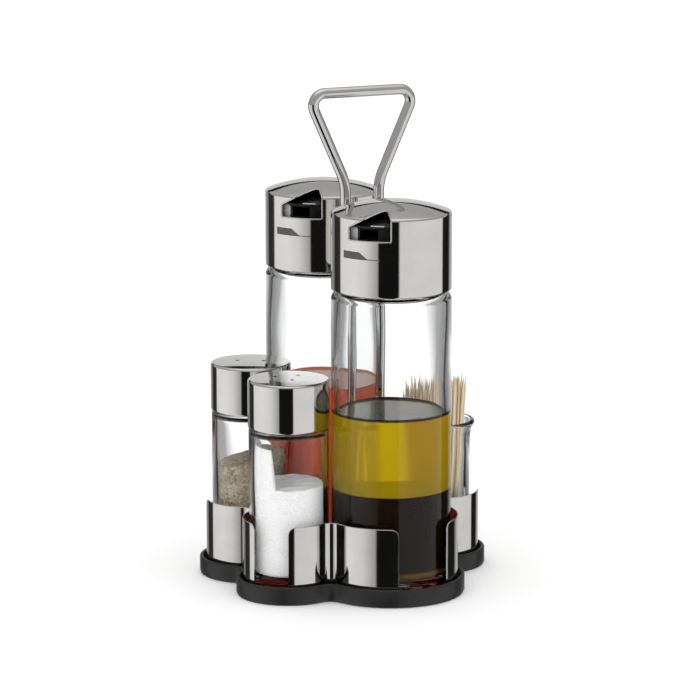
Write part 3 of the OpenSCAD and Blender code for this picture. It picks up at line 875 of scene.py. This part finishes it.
def make_tall_cap(prefix, body, axis):
    """Deep-drawn steel shell with the notch cut through its top and side, and plain marks."""
    node = prefix + "_cap_shell"
    low = span_of(node)[0]
    form = Drawn(CRUET_R, 0.7, 1.4, low, TALL_SIDE, TALL_SLOPE)
    shell = new_object(prefix + "_cap_steel", revolve(form.section(), axis, 288, closed=True))
    face = notch_face(low + NOTCH_ZERO)
    cut(shell, loft([place([(x, y, z) for y, z in face], axis, POUR_ANGLE) for x in (12, 40)]))
    dress(shell, CAP_STEEL, body, [node], 40)
    corners, faces = round_loop(notch_edge(form, face), 0.42)
    edge = new_object(prefix + "_notch_edge", (place(corners, axis, POUR_ANGLE), faces))
    dress(edge, CAP_STEEL, body, sharp=80)

    wedge_low = low + 17.5

    def wedge_top(degrees):
        if degrees < 212:
            return wedge_low + 3.4
        return wedge_low + max(0.4, 3.4 - (degrees - 212) * 0.33)

    mark = new_object(prefix + "_cap_mark", curved_block(
        axis, CRUET_R - 0.2, CRUET_R + 0.03, 193, 233, wedge_low, wedge_top, 60))
    dress(mark, MARK_STEEL, body, sharp=50)


def make_tall_liner(prefix, body, axis):
    """Black ring under the steel, with the snap lip that turns on the pourer's flange."""
    node = prefix + "_cap_liner"
    low, high = span_of(node)
    outer = CRUET_R - 0.75
    ring = [(24.4, low), (outer - 0.5, low), (outer, low + 0.5), (outer, high - 0.4), (outer - 0.4, high),
            (24.8, high), (24.4, high - 0.4)]
    lip = [(21.2, low + 12.0), (24.6, low + 12.0), (24.6, low + 14.5), (21.6, low + 14.5), (21.2, low + 13.8)]
    liner = new_object(prefix + "_cap_ring", joined(
        revolve(ring, axis, closed=True), revolve(lip, axis, closed=True)))
    dress(liner, LINER_PLASTIC, body, [node])


def make_pourer(prefix, body, axis):
    """Plug, flange, turret and sloping hood of the pourer, with the pouring slot."""
    node = prefix + "_pourer"
    low = span_of(node)[0]
    neck = low + 14
    hood = neck + 14.6
    bore_top = neck + 13.9
    profile = [(0, bore_top), (4, bore_top), (4, low), (15.6, low), (16.6, low + 1), (16.6, low + 3), (15.5, low + 3.2), (15.5, low + 5.8),
               (16.6, low + 6), (16.6, neck), (23.4, neck), (24, neck + 0.6), (24, neck + 2.4),
               (23.4, neck + 3), (22, neck + 3.2), (22, neck + 4.3), (24.4, neck + 4.5), (25, neck + 5.1),
               (25, hood - 1.2), (25.2, hood - 0.6), (25.8, hood - 0.2), (26.1, hood + 0.2),
               (26.1, hood + 0.8), (25.7, hood + 1.15), (24.3, hood + 1.5), (23.9, hood + 1.9)]
    profile += stretch((23.5, hood + 2.05), (5, hood + 6.8), 10) + [(5, hood + 6.8), (0, hood + 7.0)]
    pourer = new_object(prefix + "_pour_head", revolve(profile, axis, 216))
    slot_low = neck + 9.4
    plan = [(0, -4.5), (40, -4.5), (40, 4.5), (0, 4.5)]
    cutter = loft([place(at_height(plan, z), axis, POUR_ANGLE) for z in (slot_low, slot_low + 4.5)])
    seat = [(20, -11), (40, -11), (40, -5.5), (20, -5.5)]
    recess = loft([place(at_height(seat, z), axis, POUR_ANGLE) for z in (slot_low - 1, slot_low + 5.2)])
    cut(pourer, cutter, recess)
    soften(pourer, 0.1, 60)
    dress(pourer, POURER_PLASTIC, body, [node])
    # The lip's light grey is a painted highlight: it stands for the bright line of light along the spout's edge
    # under the hood.
    lip = new_object(prefix + "_pour_lip_painted_highlight", curved_block(
        axis, 24.2, 26.0, POUR_ANGLE + 3, POUR_ANGLE + 17, slot_low + 6.0, slot_low + 6.5))
    soften(lip, 0.12)
    dress(lip, SHUTTER_PLASTIC, body)


def make_shutter(prefix, body, axis):
    """Light grey insert beside the pouring slot, rounded to the turret."""
    node = prefix + "_spout_shutter"
    low, high = span_of(node)
    shutter = new_object(prefix + "_shutter_block", curved_block(
        axis, 20.6, 24.8, POUR_ANGLE - 25.5, POUR_ANGLE - 13.4, low + 0.05, high - 0.05))
    soften(shutter, 0.35)
    dress(shutter, SHUTTER_PLASTIC, body, [node])


def make_plug_seal(prefix, body, axis):
    """Soft ring on the plug, with two lips that press on the neck."""
    node = prefix + "_plug_seal"
    low, high = span_of(node)
    profile = [(15.5, low + 0.1), (16.4, low + 0.1), (16.93, low + 0.5), (16.93, low + 0.8), (16.5, low + 1.3),
               (16.5, high - 1.3), (16.93, high - 0.8), (16.93, high - 0.5), (16.4, high - 0.1),
               (15.5, high - 0.1)]
    seal = new_object(prefix + "_seal_ring", revolve(profile, axis, closed=True))
    dress(seal, SEAL_SILICONE, body, [node], 60)


def make_tall_cruet(prefix, axis):
    make_bottle(prefix + "_bottle", prefix + "_bottle_glass", prefix + "_cruet", axis)
    make_pourer(prefix, prefix + "_stopper", axis)
    make_shutter(prefix, prefix + "_stopper", axis)
    make_plug_seal(prefix, prefix + "_stopper", axis)
    make_tall_cap(prefix, prefix + "_cap", axis)
    make_tall_liner(prefix, prefix + "_cap", axis)


# ---------- shakers ----------

def make_shaker_glass(prefix, axis):
    """Thick little jar with a straight neck."""
    node = prefix + "_jar_glass"
    low, high = span_of(node)
    inside = SHAKER_GLASS_R - SHAKER_WALL
    cap_low = span_of(prefix + "_cap_shell")[0]
    profile = [(0, low + 1.2), (8, low + 1), (11, low + 0.7), (12, low + 0.15), (13, low)]
    profile += arc(SHAKER_GLASS_R - 2, low + 2, 2, -90, 0, 8)
    profile += stretch((SHAKER_GLASS_R, low + 4), (SHAKER_GLASS_R, cap_low - 2), 5)
    profile += arc(SHAKER_GLASS_R - 0.9, cap_low - 1.3, 0.9, 0, 84, 6)
    profile += [(15.9, cap_low - 0.35), (15.5, cap_low + 0.1), (15.5, high - 0.6), (15.1, high),
                (13.2, high), (12.8, high - 0.5), (12.8, cap_low - 1.6)]
    profile += arc(inside - 2, cap_low - 4, 2, 70, 0, 6)
    profile += stretch((inside, cap_low - 5), (inside, low + 8), 16)
    profile += arc(inside - 2.5, low + 7.4, 2.5, 0, -84, 7)
    profile += [(9, low + 4.8), (4, low + 5), (0, low + 5)]
    jar = new_object(prefix + "_shaker_glass", revolve(profile, axis, 144, shape=wavy(inside + 0.01)))
    dress(jar, CLEAR_GLASS, prefix + "_shaker", [node], 60)


def smooth_step(value):
    value = min(max(value, 0), 1)
    return value * value * (3 - 2 * value)


def make_fill(prefix, node, axis, material, tilt, rough, seed, drift=0):
    """Loose grains: packed against the glass, with a sloping, uneven top.

    drift is how far the grains that cling to one side of the glass stand above the rest.
    """
    low, high = span_of(node)
    radius = SHAKER_GLASS_R - SHAKER_WALL - 0.17
    rng = random.Random(seed)
    waves = [(rng.uniform(0, TAU), rng.uniform(0.25, 1.1), rng.uniform(0.3, 1)) for _ in range(14)]

    def shape(r, z, angle):
        if z < high - 6:
            return r, z
        x, y = r * math.cos(angle), r * math.sin(angle)
        share = (z - (high - 6)) / 6
        lift = tilt[0] * x / radius + tilt[1] * y / radius
        for turn, rate, size in waves:
            lift += rough * size * math.sin(rate * (x * math.cos(turn) + y * math.sin(turn)) + 7 * turn)
        if drift:
            degrees = math.degrees(angle) % 360
            lift += drift * (smooth_step((degrees - DRIFT_START) / 12)
                             * smooth_step((DRIFT_END - degrees) / 7)
                             * smooth_step((r - 11.5) / (radius - 12.5)))
        return r, z + lift * share

    profile = [(0, low + 0.15), (radius - 2.6, low + 0.15)]
    profile += arc(radius - 2.4, low + 2.55, 2.4, -75, 0, 6)
    profile += stretch((radius, low + 4), (radius, high - 6), 6)
    profile += stretch((radius, high - 6), (radius, high - 0.7), 6)
    profile += [(radius, high - 0.7), (radius - 0.3, high - 0.15)]
    profile += stretch((radius - 0.8, high), (0, high), 26) + [(0, high)]
    fill = new_object(prefix + "_grains", revolve(profile, axis, 144, shape=shape))
    dress(fill, material, prefix + "_shaker", [node], 60)


def make_shaker_cap(prefix, axis, count, first):
    """Small drawn cap with its sprinkle holes."""
    node = prefix + "_cap_shell"
    low, high = span_of(node)
    form = Drawn(SHAKER_R, 0.6, 1.1, low, SHAKER_SIDE, SHAKER_SLOPE)
    cap = new_object(prefix + "_cap_steel", revolve(form.section(), axis, 216, closed=True))
    holes = []
    for k in range(count):
        x, y = turned(6.2, 0, first + 360 * k / count)
        holes.append(bore(axis[0] + x, axis[1] + y, 1.0, high - 8, high + 4))
    cut(cap, *holes)
    dress(cap, CAP_STEEL, prefix + "_cap", [node], 40)


def make_shaker_trims(prefix, axis):
    """Black liner inside the cap, and the soft washer on the glass mouth."""
    cap_low = span_of(prefix + "_cap_shell")[0]
    top = span_of(prefix + "_cap_liner")[1]
    outer = SHAKER_R - 0.65
    ring = [(15.9, cap_low + 2.2), (outer - 0.5, cap_low + 2.2), (outer, cap_low + 2.7),
            (outer, cap_low + 15.8), (15.9, cap_low + 15.8)]
    disc = [(12.8, top - 1.5), (outer, top - 1.5), (outer, top - 0.3), (outer - 0.3, top), (13.1, top),
            (12.8, top - 0.3)]
    liner = new_object(prefix + "_cap_ring", joined(
        revolve(ring, axis, 144, closed=True), revolve(disc, axis, 144, closed=True)))
    dress(liner, LINER_PLASTIC, prefix + "_cap", [prefix + "_cap_liner"])
    low, high = span_of(prefix + "_mouth_seal")
    seal = new_object(prefix + "_mouth_ring", revolve(
        [(12.9, low), (15.4, low), (15.5, low + 0.2), (15.5, high - 0.2), (15.4, high), (12.9, high)],
        axis, 144, closed=True))
    body = "stand"
    for name, members in frame["record"]["behaviour"]["bodies"].items():
        if prefix + "_mouth_seal" in members:
            body = name
    dress(seal, SEAL_SILICONE, body, [prefix + "_mouth_seal"], 60)


# ---------- toothpick jar ----------

def make_jar():
    """Open jar with a very thick base and a rolled rim."""
    node = "toothpick_jar_glass"
    low, high = span_of(node)
    radius = 17.1
    lip = 1.3
    profile = [(0, low + 1.2), (7, low + 1), (10, low + 0.7), (11, low + 0.15), (12, low)]
    profile += arc(radius - 3, low + 3, 3, -90, 0, 9)
    profile += stretch((radius, low + 5), (radius, high - 11), 5)
    profile += [(radius, high - 11), (radius + 0.15, high - 8), (radius + 0.5, high - 5.5),
                (radius + 0.8, high - 3.8)]
    profile += arc(19.3 - lip, high - lip, lip, -30, 180, 16)
    profile += [(16.2, high - 2.6), (15.4, high - 5), (14.8, high - 9), (14.5, high - 13)]
    profile += stretch((14.5, high - 15), (14.5, low + 16), 10)
    profile += arc(12.2, low + 14.2, 2.3, 0, -84, 7)
    profile += [(8, low + 11.8), (0, low + 11.9)]
    jar = new_object("toothpick_jar", revolve(profile, JAR, 144, shape=wavy(14.51)))
    dress(jar, CLEAR_GLASS, "toothpick_jar", [node], 60)


def one_pick(foot, head, radius, length):
    """A pick with two tapered points, from its foot towards its head."""
    foot = Vector(foot)
    along = (Vector(head) - foot).normalized()
    side = along.orthogonal().normalized()
    other = along.cross(side)
    rings = []
    for share, size in [(0, 0.12), (0.03, 0.45), (0.09, 0.85), (0.14, 1), (0.86, 1), (0.91, 0.85),
                        (0.97, 0.45), (1, 0.12)]:
        middle = foot + along * (length * share)
        ring = []
        for k in range(10):
            a = TAU * k / 10
            ring.append(tuple(middle + side * (radius * size * math.cos(a))
                              + other * (radius * size * math.sin(a))))
        rings.append(ring)
    return loft(rings)


def make_picks():
    """A loose bundle of separate picks that leaves one side of the jar free."""
    low = span_of("toothpicks")[0]
    rng = random.Random(7)
    picks = []
    count = 150
    for i in range(count):
        radius = 12.2 * math.sqrt((i + 0.5) / count)
        degrees = (i * 137.508) % 360
        if abs(degrees - 60) < 50:
            continue
        x, y = turned(radius, 0, degrees)
        spread = 1.12 + rng.uniform(-0.05, 0.12)
        lean_x, lean_y = rng.uniform(-0.7, 0.7), rng.uniform(-0.7, 0.7)
        foot = (JAR[0] + x * 0.86, JAR[1] + y * 0.86, low + 0.1 + rng.uniform(0, 0.6))
        head = (JAR[0] + x * spread + lean_x, JAR[1] + y * spread + lean_y, foot[2] + 69)
        longest = 73 - 7 * smooth_step((-2 - x) / 9)
        picks.append(one_pick(foot, head, rng.uniform(0.62, 0.74), longest - rng.uniform(0, 3.5)))
    bundle = new_object("toothpick_bundle", joined(*picks))
    dress(bundle, PICK_WOOD, "toothpick_bundle", ["toothpicks"], 40)


# ---------- the object ----------

make_tray()
for index, node in enumerate(["fence_front_left", "fence_left", "fence_back_left",
                              "fence_back_right", "fence_front_right"]):
    make_fence_panel(node, index)
make_handle()
make_fixings()
make_tall_cruet("oil", OIL)
make_tall_cruet("vinegar", VINEGAR)
interface = span_of("olive_oil")[0]
make_liquid("olive_oil_layer", "olive_oil", "oil_cruet", OIL, OIL_LIQUID,
            interface, span_of("olive_oil")[1], True)
make_liquid("balsamic_layer", "balsamic_vinegar", "oil_cruet", OIL, BALSAMIC_LIQUID,
            span_of("balsamic_vinegar")[0], interface, False)
make_liquid("red_vinegar_fill", "red_vinegar", "vinegar_cruet", VINEGAR, RED_LIQUID,
            span_of("red_vinegar")[0], span_of("red_vinegar")[1], True)
for prefix, axis in (("salt", SALT), ("pepper", PEPPER)):
    make_shaker_glass(prefix, axis)
    make_shaker_trims(prefix, axis)
make_shaker_cap("salt", SALT, 3, 261)
make_shaker_cap("pepper", PEPPER, 2, -30)
make_fill("salt", "salt", SALT, SALT_GRAINS, (0.6, 0.4), 0.10, 3, 19)
make_fill("pepper", "ground_pepper", PEPPER, PEPPER_GRAINS, (2.2, -0.6), 0.14, 5)
make_jar()
make_picks()


# ---------- stage, light and camera ----------

CAMERA_TURN = math.radians(-25.426)
CAMERA_DISTANCE = 1.5698
CAMERA_HEIGHT = 0.4182
CAMERA_TILT = math.radians(11.243)
look = Vector((-math.sin(CAMERA_TURN), math.cos(CAMERA_TURN), 0))
right = Vector((math.cos(CAMERA_TURN), math.sin(CAMERA_TURN), 0))


def make_camera():
    data = bpy.data.cameras.new("camera")
    data.sensor_width = 36
    data.lens = 176.8
    data.shift_x = -0.0097
    camera = bpy.data.objects.new("camera", data)
    camera.location = Vector((OIL[0] * MM, 0, CAMERA_HEIGHT)) - look * CAMERA_DISTANCE
    camera.rotation_euler = (math.pi / 2 - CAMERA_TILT, 0, CAMERA_TURN)
    bpy.context.scene.collection.objects.link(camera)
    bpy.context.scene.camera = camera


def make_floor():
    """A wide plain floor that mirrors and glass don't pick up."""
    floor = new_object("floor", revolve([(0, 0), (9000, 0)], (0, 0), 96))
    material, tree = new_material("studio_floor")
    tone = blend_colours(tree, noise(tree, 900, 2), (0.3, (0.93, 0.93, 0.93)), (0.7, (0.95, 0.95, 0.95)))
    surface(tree, {"Base Color": tone, "Roughness": 0.9, "Specular IOR Level": 0.0})
    floor.data.materials.append(material)
    floor.visible_glossy = False
    floor.visible_transmission = False


def make_world():
    """A studio of tall soft panels and dark flags, as a pattern of directions."""
    world = bpy.data.worlds.new("studio")
    bpy.context.scene.world = world
    world.use_nodes = True
    tree = world.node_tree
    tree.nodes.clear()
    direction = add(tree, "ShaderNodeTexCoord").outputs["Generated"]

    def along(vector):
        return add(tree, "ShaderNodeVectorMath", {0: direction, 1: vector},
                   operation="DOT_PRODUCT").outputs["Value"]

    turn = maths(tree, "ARCTAN2", along(right), along(-look))
    share = maths(tree, "ADD", maths(tree, "DIVIDE", turn, TAU), 0.5)
    height = add(tree, "ShaderNodeSeparateXYZ", {"Vector": direction}).outputs["Z"]
    degrees = maths(tree, "MULTIPLY", maths(tree, "ARCSINE", height), 360 / TAU)

    def grey(*stops):
        return [((place_at + 180) / 360, (value,) * 3) for place_at, value in stops]

    panels = blend_colours(tree, share, *grey(
        (-180, 0.62), (-162, 0.55), (-150, 0.28), (-141, 0.22), (-137, 0.03), (-116, 0.03), (-111, 0.85),
        (-75, 0.92), (-50, 0.80), (-27, 0.42), (-24, 0.008), (13, 0.008), (16, 0.78), (60, 0.80),
        (111, 0.78), (115, 0.012), (138, 0.012), (148, 0.40), (162, 0.55), (180, 0.62)))
    upper = blend_colours(tree, maths(tree, "DIVIDE", degrees, 90),
                          (0.0, (0.38,) * 3), (0.40, (0.40,) * 3), (0.56, (0.50,) * 3), (0.75, (0.95,) * 3))
    off_back = maths(tree, "SUBTRACT", 180, maths(tree, "MULTIPLY", maths(tree, "ABSOLUTE", turn), 360 / TAU))
    above = maths(tree, "SUBTRACT", degrees, maths(tree, "MULTIPLY", between(tree, off_back, 1.0, 0.0, 40, 60), 18))
    thickness = between(tree, off_back, 0.8, 3.4, 1, 11)
    near_line = maths(tree, "LESS_THAN", maths(tree, "ABSOLUTE", above), thickness)
    dark_line = maths(tree, "MULTIPLY", near_line, maths(tree, "LESS_THAN", off_back, 34))
    is_upper = between(tree, above, 0.0, 1.0, -1.5, 1.5)
    mixed = add(tree, "ShaderNodeMix", {0: is_upper, 6: panels, 7: upper}, data_type="RGBA").outputs[2]
    lined = add(tree, "ShaderNodeMix", {0: dark_line, 6: mixed, 7: (0.01, 0.01, 0.01, 1)},
                data_type="RGBA").outputs[2]
    path = add(tree, "ShaderNodeLightPath")
    seen = add(tree, "ShaderNodeBackground", {"Color": (1, 1, 1, 1), "Strength": 1.1})
    dimmer = between(tree, path.outputs["Is Transmission Ray"], 1.12, 0.65, 0.0, 1.0)
    studio = add(tree, "ShaderNodeBackground", {"Color": lined, "Strength": dimmer})
    diffused = maths(tree, "GREATER_THAN", path.outputs["Diffuse Depth"], 0.5)
    in_glass = path.outputs["Is Transmission Ray"]
    straight = maths(tree, "MULTIPLY", between(tree, off_back, 1.0, 0.0, 6, 11),
                     between(tree, degrees, 1.0, 0.0, 14, 22))
    through = maths(tree, "MULTIPLY", in_glass, straight)
    plain = maths(tree, "MAXIMUM", path.outputs["Is Camera Ray"],
                  maths(tree, "MAXIMUM", diffused, through))
    choose = add(tree, "ShaderNodeMixShader", {0: plain})
    tree.links.new(studio.outputs["Background"], choose.inputs[1])
    tree.links.new(seen.outputs["Background"], choose.inputs[2])
    world.cycles.sampling_method = "NONE"
    output = add(tree, "ShaderNodeOutputWorld")
    tree.links.new(choose.outputs["Shader"], output.inputs["Surface"])


def make_lamp(name, location, size, power):
    """A soft lamp that lights the stage and the matt pieces, and doesn't show in the steel or glass."""
    data = bpy.data.lights.new(name, "AREA")
    data.shape = "DISK"
    data.size = size
    data.energy = power
    lamp = bpy.data.objects.new(name, data)
    lamp.location = location
    lamp.rotation_euler = (-Vector(location)).to_track_quat("-Z", "Y").to_euler()
    lamp.visible_glossy = False
    lamp.visible_transmission = False
    lamp.visible_camera = False
    bpy.context.scene.collection.objects.link(lamp)


make_camera()
make_floor()
make_world()
make_lamp("overhead_lamp", (0.0, 0.0, 4.0), 4.0, 16)
make_lamp("left_lamp", (-2.2, -1.6, 2.0), 1.6, 7)
scene = bpy.context.scene
scene.view_settings.view_transform = "Standard"
scene.cycles.max_bounces = 32
scene.cycles.transmission_bounces = 32
scene.cycles.glossy_bounces = 8
scene.cycles.transparent_max_bounces = 32
scene.cycles.sample_clamp_indirect = 4
